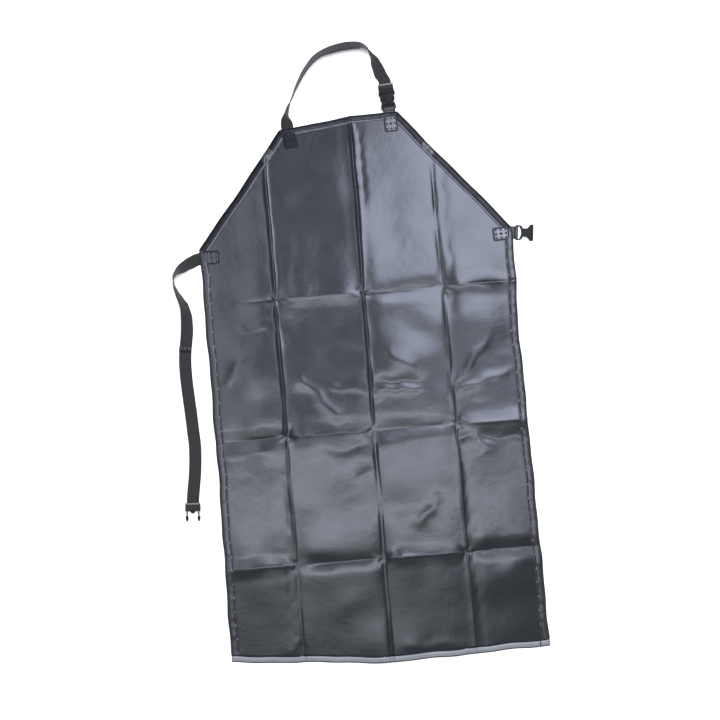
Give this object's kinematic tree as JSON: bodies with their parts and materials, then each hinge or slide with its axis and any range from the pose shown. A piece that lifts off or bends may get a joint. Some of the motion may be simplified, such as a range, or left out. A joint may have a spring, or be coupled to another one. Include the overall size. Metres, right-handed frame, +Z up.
{
  "type": "pvc apron",
  "caption": "Bib work apron of black coated sheet lying flat, hemmed all round, with stitched patches, webbing neck and waist straps and side-release buckles.",
  "frame": {"origin": "middle of the bounding box, on the floor that the apron lies on", "axes": "+Y from the bottom hem to the neck, +X to the right as seen from above, +Z up from the floor"},
  "size_m": [0.7565, 1.2732, 0.025],
  "materials": {
    "sheet": "satin",
    "hem": "satin",
    "patch": "satin",
    "webbing": "matte",
    "buckle": "matte"
  },
  "bodies": {
    "root": {"apron_panel": "sheet", "hem_top": "hem", "hem_bib_right": "hem", "hem_side_right": "hem", "hem_bottom": "hem", "hem_side_left": "hem", "hem_bib_left": "hem", "patch_neck_left": "patch", "patch_neck_right": "patch", "patch_waist_right": "patch", "patch_waist_left": "patch", "neck_strap": "webbing", "waist_strap": "webbing", "neck_loop": "patch", "waist_loop": "patch", "neck_buckle_female": "buckle", "neck_buckle_male": "buckle", "waist_buckle_female": "buckle", "waist_buckle_male": "buckle"}
  },
  "joints": []
}
